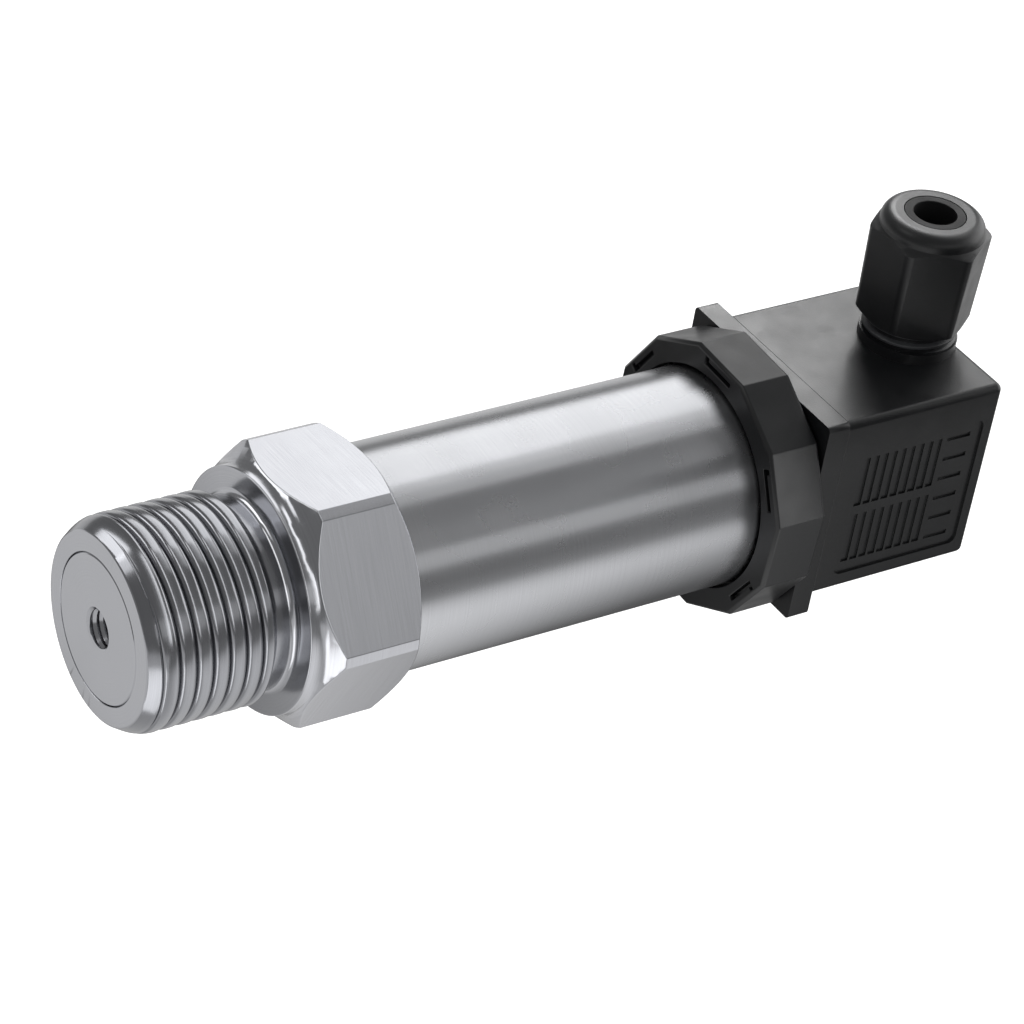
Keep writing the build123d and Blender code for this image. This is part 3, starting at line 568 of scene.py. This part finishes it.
class TRANSMITTER_OT_connection(Operator):
    """Threaded stub, neck, collar and hexagon of the process connection"""

    bl_idname = "transmitter.connection"
    bl_label = "Process connection"

    stub_end_radius = 10.8 * MM
    end_bevel = 0.12 * MM
    lead_in_length = 2.0 * MM
    lead_in_round = 1.1 * MM
    run_out_start = 14.7 * MM
    run_out_end = 15.6 * MM
    neck_radius = 10.8 * MM
    neck_fillet = 0.8 * MM
    collar_x = 18.0 * MM
    collar_radius = 13.95 * MM
    collar_bevel = 0.15 * MM
    trim = 0.3 * MM
    hex_x = 19.3 * MM
    hex_end_x = 31.8 * MM
    disc_radius = 8.5 * MM
    disc_edge = 0.06 * MM
    disc_depth = 6.0 * MM
    channel_radius = 2.0 * MM
    edge_radius = 0.12 * MM
    flat_tilt = 0.02

    def envelope(self, x, reach):
        """The radius, held within the blank that the thread is cut in, with its rounded lead-in."""
        crest = mounts["process_thread"]["dims"]["r_mm"] * MM
        rise = (crest - self.stub_end_radius) / self.lead_in_length
        lead = self.stub_end_radius + rise * max(x, 0)
        round_off = self.lead_in_round
        if abs(x - self.lead_in_length) < round_off:
            lead = crest - rise * (x - self.lead_in_length - round_off) ** 2 / (4 * round_off)
        lead = min(lead, crest)
        share = (x - self.run_out_start) / (self.run_out_end - self.run_out_start)
        tail = crest + (self.neck_radius - crest) * min(max(share, 0), 1)
        return min(reach, lead, tail)

    def execute(self, context):
        thread = context.scene.transmitter_thread
        crest = mounts["process_thread"]["dims"]["r_mm"] * MM
        profile = groove_profile(
            thread.pitch, crest, thread.groove_width, thread.groove_depth, thread.crown, thread.lean
        )
        shifted = [(along + thread.phase, reach) for along, reach in profile]
        stub_end_x = self.collar_x - self.neck_fillet
        bm = thread_skin(
            shifted, thread.pitch, self.end_bevel, stub_end_x, thread.steps, limit=self.envelope
        )
        end_middle = self.stub_end_radius - self.end_bevel
        end_arc = arc_places(self.end_bevel, end_middle, self.end_bevel, start=90, stop=180, count=3)
        seat = [
            (0, self.disc_radius + self.disc_edge),
            (self.disc_edge, self.disc_radius),
            (self.disc_depth, self.disc_radius),
            (self.disc_depth, self.channel_radius),
        ]
        front = extend_loop(bm, open_loop(bm, self.end_bevel), end_arc[1:] + seat)
        fillet_middle = self.neck_radius + self.neck_fillet
        fillet = arc_places(stub_end_x, fillet_middle, self.neck_fillet, start=-90, stop=0)
        bevel_x = self.collar_x + self.collar_bevel
        bevel_middle = self.collar_radius - self.collar_bevel
        bevel = arc_places(bevel_x, bevel_middle, self.collar_bevel, start=180, stop=90, count=4)
        rear = extend_loop(bm, open_loop(bm, stub_end_x), fillet[1:] + bevel)
        body = welded_copy("process_connection")
        cut_x = self.collar_x + self.trim
        bmesh.ops.bisect_plane(
            body,
            geom=body.verts[:] + body.edges[:] + body.faces[:],
            plane_co=(cut_x, 0, 0),
            plane_no=(-1, 0, 0),
            clear_outer=True,
            dist=WELD_DISTANCE,
        )
        soften_edges(body, self.edge_radius, where=lambda edge: edge.is_convex)
        rear_mesh = bpy.data.meshes.new("rear")
        body.to_mesh(rear_mesh)
        body.free()
        bm.from_mesh(rear_mesh)
        bpy.data.meshes.remove(rear_mesh)
        cut = open_loop(bm, cut_x)
        halfway = (self.channel_radius + self.collar_radius) / 2
        outer = [edge for edge in cut if math.hypot(edge.verts[0].co.y, edge.verts[0].co.z) > halfway]
        inner = [edge for edge in cut if edge not in outer]
        bmesh.ops.bridge_loops(bm, edges=rear + outer)
        bmesh.ops.bridge_loops(bm, edges=front + inner)
        bmesh.ops.recalc_face_normals(bm, faces=bm.faces)
        for face in bm.faces:
            middle = face.calc_center_median()
            on_hexagon = self.hex_x < middle.x < self.hex_end_x and abs(face.normal.x) < self.flat_tilt
            outside = math.hypot(middle.y, middle.z) > self.disc_radius + 2 * self.disc_edge
            on_thread = self.end_bevel < middle.x < stub_end_x and outside
            face.material_index = 1 if on_hexagon else 2 if on_thread else 0
        add_piece(
            "threaded_connection",
            bm,
            "sensor",
            ["turned_stainless", "milled_stainless", "shaded_thread_stainless"],
            ["process_connection"],
        )
        return {"FINISHED"}


class TRANSMITTER_OT_port(Operator):
    """Disc in the end face, with its tapped port"""

    bl_idname = "transmitter.port"
    bl_label = "Tapped port"

    mouth_chamfer = 0.14 * MM
    disc_bevel = 0.15 * MM
    crest_shares = (0.4, 0.6)

    def execute(self, context):
        sizes = context.scene.transmitter_port
        low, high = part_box("port_disc")
        disc_radius = high.y
        depth = high.x - low.x
        port_radius = mounts["pressure_port"]["dims"]["r_mm"] * MM
        minor = port_radius - sizes.port_depth
        pitch = sizes.port_pitch
        crests = [(share * pitch, minor) for share in self.crest_shares]
        profile = [(0, port_radius)] + crests + [(pitch, port_radius)]
        bm = thread_skin(profile, pitch, self.mouth_chamfer, depth, FINE_THREAD_STEPS)
        mouth = extend_loop(
            bm,
            open_loop(bm, self.mouth_chamfer),
            [
                (0, port_radius + self.mouth_chamfer / 2),
                (0, disc_radius - self.disc_bevel),
                (self.disc_bevel, disc_radius),
                (depth, disc_radius),
                (depth, port_radius),
            ],
        )
        bmesh.ops.bridge_loops(bm, edges=mouth + open_loop(bm, depth, port_radius))
        bmesh.ops.recalc_face_normals(bm, faces=bm.faces)
        add_piece("tapped_disc", bm, "sensor", ["turned_stainless"], ["port_disc"])
        return {"FINISHED"}


class TRANSMITTER_OT_tube(Operator):
    """Brushed tube"""

    bl_idname = "transmitter.tube"
    bl_label = "Brushed tube"

    wall = 1.2 * MM
    edge_bevel = 0.25 * MM
    steps = 240

    def execute(self, context):
        low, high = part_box("body_tube")
        radius = high.y
        bore = radius - self.wall
        outline = [
            (low.x, bore),
            (low.x, radius - self.edge_bevel),
            (low.x + self.edge_bevel, radius),
            (high.x, radius),
            (high.x, bore),
        ]
        bm = bmesh.new()
        verts = [bm.verts.new((x, 0, reach)) for x, reach in outline]
        edges = [bm.edges.new(pair) for pair in zip(verts, verts[1:] + verts[:1])]
        bmesh.ops.spin(
            bm,
            geom=verts + edges,
            cent=(0, 0, 0),
            axis=(1, 0, 0),
            angle=2 * math.pi,
            steps=self.steps,
            use_merge=True,
        )
        bmesh.ops.recalc_face_normals(bm, faces=bm.faces)
        add_piece("brushed_tube", bm, "sensor", ["brushed_stainless"], ["body_tube"])
        return {"FINISHED"}


class TRANSMITTER_OT_mouldings(Operator):
    """Nuts, connector base, plug housing and rubber bush, with the soft edges of moulded pieces"""

    bl_idname = "transmitter.mouldings"
    bl_label = "Black mouldings"

    bush_edge = 0.15 * MM

    # For each CAD node: the piece's name, its body, the radius of its edges and its finish
    edges = {
        "lock_nut": ("ring_nut", "lock_nut", 0.14 * MM, "smooth_polyamide"),
        "connector_base": ("flange_moulding", "sensor", 0.2 * MM, "black_polyamide"),
        "plug_housing": ("plug_shell", "plug", 0.1 * MM, "black_polyamide"),
        "gland_nut": ("cap_nut", "gland_nut", 0.3 * MM, "black_polyamide"),
    }

    def execute(self, context):
        for node, (name, body, radius, finish) in self.edges.items():
            softened_node(node, radius, name, body, [finish])
        softened_node(
            "gland_seal", self.bush_edge, "rubber_bush", "plug", ["nitrile_rubber"]
        )
        return {"FINISHED"}


class TRANSMITTER_OT_neck_thread(Operator):
    """Thread on the gland's neck below the nut"""

    bl_idname = "transmitter.neck_thread"
    bl_label = "Gland thread"

    neck_radius = 5.2 * MM
    ring_height = 1.25 * MM
    nut_gap = 3.5 * MM
    brow_drop = 0.08 * MM
    hidden = 0.1 * MM

    # Where one thread's root, brows and crest meet, as shares of the pitch
    corners = (0.26, 0.44, 0.52, 0.68, 0.76, 0.94)

    def execute(self, context):
        sizes = context.scene.transmitter_port
        nut_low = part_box("gland_nut")[0]
        joint = next(joint for joint in frame["joints"] if joint["name"] == "gland_nut_turn")
        plug_top = nut_low.z - self.nut_gap
        start = plug_top + self.ring_height - self.hidden
        stop = nut_low.z - 0.5 * self.hidden
        pitch = sizes.neck_pitch
        root = self.neck_radius - self.hidden
        crest = self.neck_radius + sizes.neck_depth
        brow = crest - self.brow_drop
        reaches = (root, brow, crest, crest, brow, root)
        ridge = [(share * pitch, reach) for share, reach in zip(self.corners, reaches)]
        profile = [(0, root)] + ridge + [(pitch, root)]
        bm = thread_skin(profile, pitch, start, stop, FINE_THREAD_STEPS)
        for x in (start, stop):
            bmesh.ops.contextual_create(bm, geom=open_loop(bm, x))
        turn = Matrix.Rotation(-math.pi / 2, 4, "Y")
        place = Matrix.Translation((joint["pos_m"][0], joint["pos_m"][1], 0))
        bmesh.ops.transform(bm, matrix=place @ turn, verts=bm.verts)
        bmesh.ops.recalc_face_normals(bm, faces=bm.faces)
        add_piece("neck_thread", bm, "plug", ["black_polyamide"])
        return {"FINISHED"}


class TRANSMITTER_OT_inner_finishes(Operator):
    """Finish of every CAD piece that is shown as it is"""

    bl_idname = "transmitter.inner_finishes"
    bl_label = "Finishes of the inner pieces"

    def execute(self, context):
        for row in frame["record"]["subparts"]:
            cad = nodes[row["node"]]
            cad.data.materials.clear()
            cad.data.materials.append(material_named(SLOT_FINISHES[row["material_slot"]]))
        return {"FINISHED"}


def add_softbox(name, place, width, height, radiance):
    """A rectangular light that shines along its own -Z with the same radiance all over."""
    lamp = bpy.data.lights.new(name, "AREA")
    lamp.shape = "RECTANGLE"
    lamp.size = width
    lamp.size_y = height
    lamp.energy = radiance * math.pi * width * height
    light = bpy.data.objects.new(name, lamp)
    bpy.context.scene.collection.objects.link(light)
    light.matrix_world = place
    return light


def add_card(name, low, high, level):
    """An upright card between two corners that shows only in reflections, with an even glow of its own: a painted
    reflection, which casts no shadow.
    """
    bm = bmesh.new()
    corners = [(low[0], low[2]), (high[0], low[2]), (high[0], high[2]), (low[0], high[2])]
    bm.faces.new([bm.verts.new((x, low[1], z)) for x, z in corners])
    mesh = bpy.data.meshes.new(name)
    bm.to_mesh(mesh)
    bm.free()
    card = bpy.data.objects.new(name, mesh)
    bpy.context.scene.collection.objects.link(card)
    card.visible_camera = False
    card.visible_diffuse = False
    card.visible_transmission = False
    card.visible_shadow = False
    material = bpy.data.materials.new(name)
    material.use_nodes = True
    tree = material.node_tree
    tree.nodes.clear()
    glow = add_node(tree, "ShaderNodeEmission", {"Color": (1, 1, 1, 1), "Strength": level})
    add_node(tree, "ShaderNodeOutputMaterial", {"Surface": glow.outputs[0]})
    mesh.materials.append(material)


def add_strip_light(name, middle, span, start, stop, reach, radiance):
    """A long softbox beside the X axis. Its middle and span are angles about X, from +Y towards +Z."""
    height = 2 * reach * math.tan(math.radians(span / 2))
    turn = Matrix.Rotation(math.radians(middle - 90), 4, "X")
    place = turn @ Matrix.Translation(((start + stop) / 2, 0, reach))
    return add_softbox(name, place, stop - start, height, radiance)


class TRANSMITTER_OT_stage(Operator):
    """Camera, lights, world and floor"""

    bl_idname = "transmitter.stage"
    bl_label = "Studio"

    # Long softboxes beside the X axis. Angles are in degrees about X, from +Y towards +Z.
    strips = {
        "far_softbox": dict(middle=46, span=56, start=0.35, stop=0.8, reach=0.8, radiance=2.1),
        "far_softbox_edge": dict(middle=79, span=10, start=0.4, stop=0.8, reach=0.8, radiance=1.25),
        "far_softbox_rim": dict(middle=90, span=12, start=0.4, stop=0.8, reach=0.8, radiance=0.8),
        "left_softbox": dict(middle=72, span=22, start=-0.66, stop=-0.36, reach=0.8, radiance=2.0),
        "near_strip": dict(middle=154, span=18, start=-0.5, stop=0.9, reach=0.9, radiance=0.52),
    }
    nut_strips = {
        "nut_side_strip": dict(middle=168, span=30, start=0.2, stop=1.0, reach=0.9, radiance=2.0),
        "nut_low_strip": dict(middle=266, span=24, start=0.085, stop=0.13, reach=0.043, radiance=0.26),
    }
    stub_strips = {
        "crescent_strip_top": dict(middle=100, span=50, start=0.02, stop=0.2, reach=0.8, radiance=2.4),
        "crescent_strip_near": dict(middle=147, span=44, start=0.02, stop=0.2, reach=0.8, radiance=2.2),
        "lead_in_strip": dict(middle=43, span=46, start=-0.5, stop=-0.15, reach=0.8, radiance=2.8),
        "lead_in_low_strip": dict(middle=217, span=50, start=-0.028, stop=-0.004, reach=0.05, radiance=1.8),
    }

    # Softboxes that reach one piece only
    linked_strips = {"ring_nut": nut_strips, "threaded_connection": stub_strips}

    # A wall of light past the plug, then small lights for the black pieces of the plug
    wall_place = (1.2, -0.1, 0.42)
    wall_size = (0.9, 1.4)
    wall_radiance = 1.85
    plug_pieces = ("plug_shell", "flange_moulding", "cap_nut", "neck_thread", "rubber_bush")
    keys = {
        "plug_key": dict(
            direction=(0.383, 0.663, 0.643),
            distance=0.6,
            size=0.2,
            radiance=11.0,
            receivers=plug_pieces,
        ),
        "neck_key": dict(
            direction=(-0.75, -0.6, 0.28),
            distance=0.4,
            size=0.12,
            radiance=30.0,
            receivers=("neck_thread",),
        ),
    }

    # Cards that show only in reflections, as painted reflections: a grey one beside the plug, seen in its near
    # side, and a dark one beside its gland, which paints shade into the gland's reflections
    cards = {
        "plug_reflection_card": dict(low=(0.106, -0.045, -0.05), high=(0.17, -0.045, -0.012), level=0.45),
        "gland_shade_card": dict(low=(0.0925, -0.028, 0.002), high=(0.12, -0.028, 0.035), level=0.03),
    }
    world_level = 0.28
    floor_size = 6.0
    floor_colour = "F0F0F0"
    floor_glow = 0.75

    # Zones of the floor's painted reflection, the glow that glossy rays alone see: what each follows, where it
    # starts and stops, and its level there. The under zone paints a shadow below the plug, the stub zone paints
    # shade below the stub, and the near, beyond and before zones paint the brighter parts
    painted_floor_zones = {
        "near": ("Y", -0.3, -0.06, 0.36, 1.45),
        "under": ("slant", -0.015, 0.08, 1.0, 0.08),
        "beyond": ("slant", 0.12, 0.22, 0.08, 0.85),
        "stub": ("X", -0.01, 0.045, 0.5, 1.0),
        "before": ("X", -0.03, -0.01, 1.0, 0.0),
    }
    # Direction of the slanted painted zones, and the painted brightness before the tube
    slant = (0.8, 1.0, 0.0)
    before_level = 0.95

    def execute(self, context):
        stage = context.scene.transmitter_stage
        lens = bpy.data.cameras.new("camera")
        lens.lens = stage.lens
        camera = bpy.data.objects.new("camera", lens)
        context.scene.collection.objects.link(camera)
        azimuth = Matrix.Rotation(stage.azimuth, 4, "Z")
        elevation = Matrix.Rotation(math.pi / 2 - stage.elevation, 4, "X")
        roll = Matrix.Rotation(stage.roll, 4, "Z")
        back = Matrix.Translation((0, 0, stage.distance))
        camera.matrix_world = Matrix.Translation(stage.aim) @ azimuth @ elevation @ roll @ back
        context.scene.camera = camera
        for name, strip in self.strips.items():
            add_strip_light(name, **strip)
        for piece, strips in self.linked_strips.items():
            for name, strip in strips.items():
                light = add_strip_light(name, **strip)
                light.visible_camera = False
                self.link_light(light, (piece,))
        wall = Matrix.Translation(self.wall_place) @ Matrix.Rotation(math.pi / 2, 4, "Y")
        add_softbox("end_wall", wall, *self.wall_size, self.wall_radiance)
        for name, key in self.keys.items():
            self.add_key(name, **key)
        for name, card in self.cards.items():
            add_card(name, **card)
        self.add_world(context)
        self.add_floor(context, stage)
        context.scene.view_settings.view_transform = "Standard"
        return {"FINISHED"}

    def link_light(self, light, receivers):
        """Lets the light reach only the named pieces."""
        chosen = bpy.data.collections.new(light.name + "_receivers")
        for name in receivers:
            chosen.objects.link(bpy.data.objects[name])
        light.light_linking.receiver_collection = chosen

    def add_key(self, name, direction, distance, size, radiance, receivers):
        """A small light for the named pieces alone, in that direction from the middle of the plug."""
        towards = Vector(direction).normalized()
        target = sum(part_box("plug_housing"), Vector()) / 2
        turn = towards.to_track_quat("Z", "Y").to_matrix().to_4x4()
        place = Matrix.Translation(target + towards * distance) @ turn
        key = add_softbox(name, place, size, size, radiance)
        key.visible_camera = False
        self.link_light(key, receivers)

    def add_world(self, context):
        """White where the camera looks past the floor, and a dim even room for everything else."""
        world = bpy.data.worlds.new("room")
        context.scene.world = world
        world.use_nodes = True
        tree = world.node_tree
        tree.nodes.clear()
        path = add_node(tree, "ShaderNodeLightPath")
        level = add_node(
            tree,
            "ShaderNodeMapRange",
            {"Value": path.outputs["Is Camera Ray"], "To Min": self.world_level, "To Max": 1.0},
        )
        room = add_node(tree, "ShaderNodeBackground", {"Color": (1, 1, 1, 1), "Strength": level.outputs[0]})
        add_node(tree, "ShaderNodeOutputWorld", {"Surface": room.outputs[0]})

    def add_floor(self, context, stage):
        """A white sheet of paper under the object, which keeps its soft shadow where the camera sees it, and shows
        glossy rays a painted reflection instead.
        """
        bm = bmesh.new()
        bmesh.ops.create_grid(bm, x_segments=1, y_segments=1, size=self.floor_size / 2)
        bmesh.ops.translate(bm, vec=(0, 0, cad_box[0].z - stage.floor_drop), verts=bm.verts)
        mesh = bpy.data.meshes.new("floor")
        bm.to_mesh(mesh)
        bm.free()
        floor = bpy.data.objects.new("floor", mesh)
        context.scene.collection.objects.link(floor)
        material = bpy.data.materials.new("white_paper")
        material.use_nodes = True
        tree = material.node_tree
        tree.nodes.clear()
        path = add_node(tree, "ShaderNodeLightPath")
        seen = path.outputs["Is Camera Ray"]
        glow = add_node(tree, "ShaderNodeMath", {0: seen, 1: self.floor_glow}, operation="MULTIPLY")
        paper = add_node(tree, "ShaderNodeBsdfDiffuse", {"Color": linear(self.floor_colour)})
        white = add_node(tree, "ShaderNodeEmission", {"Color": (1, 1, 1, 1), "Strength": glow.outputs[0]})
        lit = add_node(tree, "ShaderNodeAddShader", {0: paper.outputs[0], 1: white.outputs[0]})
        # Glossy rays see this painted reflection instead of the lit paper: its own glow, with a painted shadow
        # below the plug
        painted_reflection = add_node(
            tree, "ShaderNodeEmission", {"Color": (1, 1, 1, 1), "Strength": self.painted_reflection_level(tree)}
        )
        both = add_node(
            tree,
            "ShaderNodeMixShader",
            {0: path.outputs["Is Glossy Ray"], 1: lit.outputs[0], 2: painted_reflection.outputs[0]},
        )
        add_node(tree, "ShaderNodeOutputMaterial", {"Surface": both.outputs[0]})
        mesh.materials.append(material)

    def painted_reflection_level(self, tree):
        """Painted reflection of the floor, its brightness for glossy rays alone: painted bright before the tube,
        with a painted shadow below the plug.
        """
        place = add_node(tree, "ShaderNodeTexCoord").outputs["Object"]
        split = add_node(tree, "ShaderNodeSeparateXYZ", {0: place})
        slant = add_node(tree, "ShaderNodeVectorMath", {0: place, 1: self.slant}, operation="DOT_PRODUCT")
        followed = {"X": split.outputs["X"], "Y": split.outputs["Y"], "slant": slant.outputs["Value"]}
        zones = {}
        for zone, (coordinate, start, stop, low, high) in self.painted_floor_zones.items():
            along = {"Value": followed[coordinate], "From Min": start, "From Max": stop}
            levels = {"To Min": low, "To Max": high}
            step = add_node(
                tree, "ShaderNodeMapRange", {**along, **levels}, interpolation_type="SMOOTHSTEP"
            )
            zones[zone] = step.outputs[0]
        product = zones["near"]
        for zone in ("under", "stub"):
            product = add_node(
                tree, "ShaderNodeMath", {0: product, 1: zones[zone]}, operation="MULTIPLY"
            ).outputs[0]
        level = add_node(tree, "ShaderNodeMath", {0: product, 1: zones["beyond"]}, operation="MAXIMUM")
        mixed = {"Factor": zones["before"], "A": level.outputs[0], "B": self.before_level}
        return add_node(tree, "ShaderNodeMix", mixed).outputs["Result"]


class TRANSMITTER_PT_pieces(Panel):
    """The pieces of the pressure transmitter, in the order in which they are made"""

    bl_label = "Pressure Transmitter"
    bl_idname = "TRANSMITTER_PT_pieces"
    bl_space_type = "VIEW_3D"
    bl_region_type = "UI"
    bl_category = "Transmitter"

    def draw(self, context):
        scene = context.scene
        for group in (
            scene.transmitter_thread,
            scene.transmitter_port,
            scene.transmitter_finish,
            scene.transmitter_stage,
        ):
            box = self.layout.box()
            for name in group.__annotations__:
                box.prop(group, name)
        for operator in OPERATORS:
            self.layout.operator(operator.bl_idname)


OPERATORS = (
    TRANSMITTER_OT_inner_finishes,
    TRANSMITTER_OT_connection,
    TRANSMITTER_OT_port,
    TRANSMITTER_OT_tube,
    TRANSMITTER_OT_mouldings,
    TRANSMITTER_OT_neck_thread,
    TRANSMITTER_OT_stage,
)
GROUPS = {
    "transmitter_thread": TransmitterThread,
    "transmitter_port": TransmitterPort,
    "transmitter_finish": TransmitterFinish,
    "transmitter_stage": TransmitterStage,
}


def register():
    for group in GROUPS.values():
        bpy.utils.register_class(group)
    for name, group in GROUPS.items():
        setattr(bpy.types.Scene, name, PointerProperty(type=group))
    for operator in OPERATORS:
        bpy.utils.register_class(operator)
    bpy.utils.register_class(TRANSMITTER_PT_pieces)


def unregister():
    bpy.utils.unregister_class(TRANSMITTER_PT_pieces)
    for operator in reversed(OPERATORS):
        bpy.utils.unregister_class(operator)
    for name in GROUPS:
        delattr(bpy.types.Scene, name)
    for group in reversed(GROUPS.values()):
        bpy.utils.unregister_class(group)


def main():
    register()
    for operator in OPERATORS:
        group, name = operator.bl_idname.split(".")
        getattr(getattr(bpy.ops, group), name)()


if __name__ == "__main__":
    main()
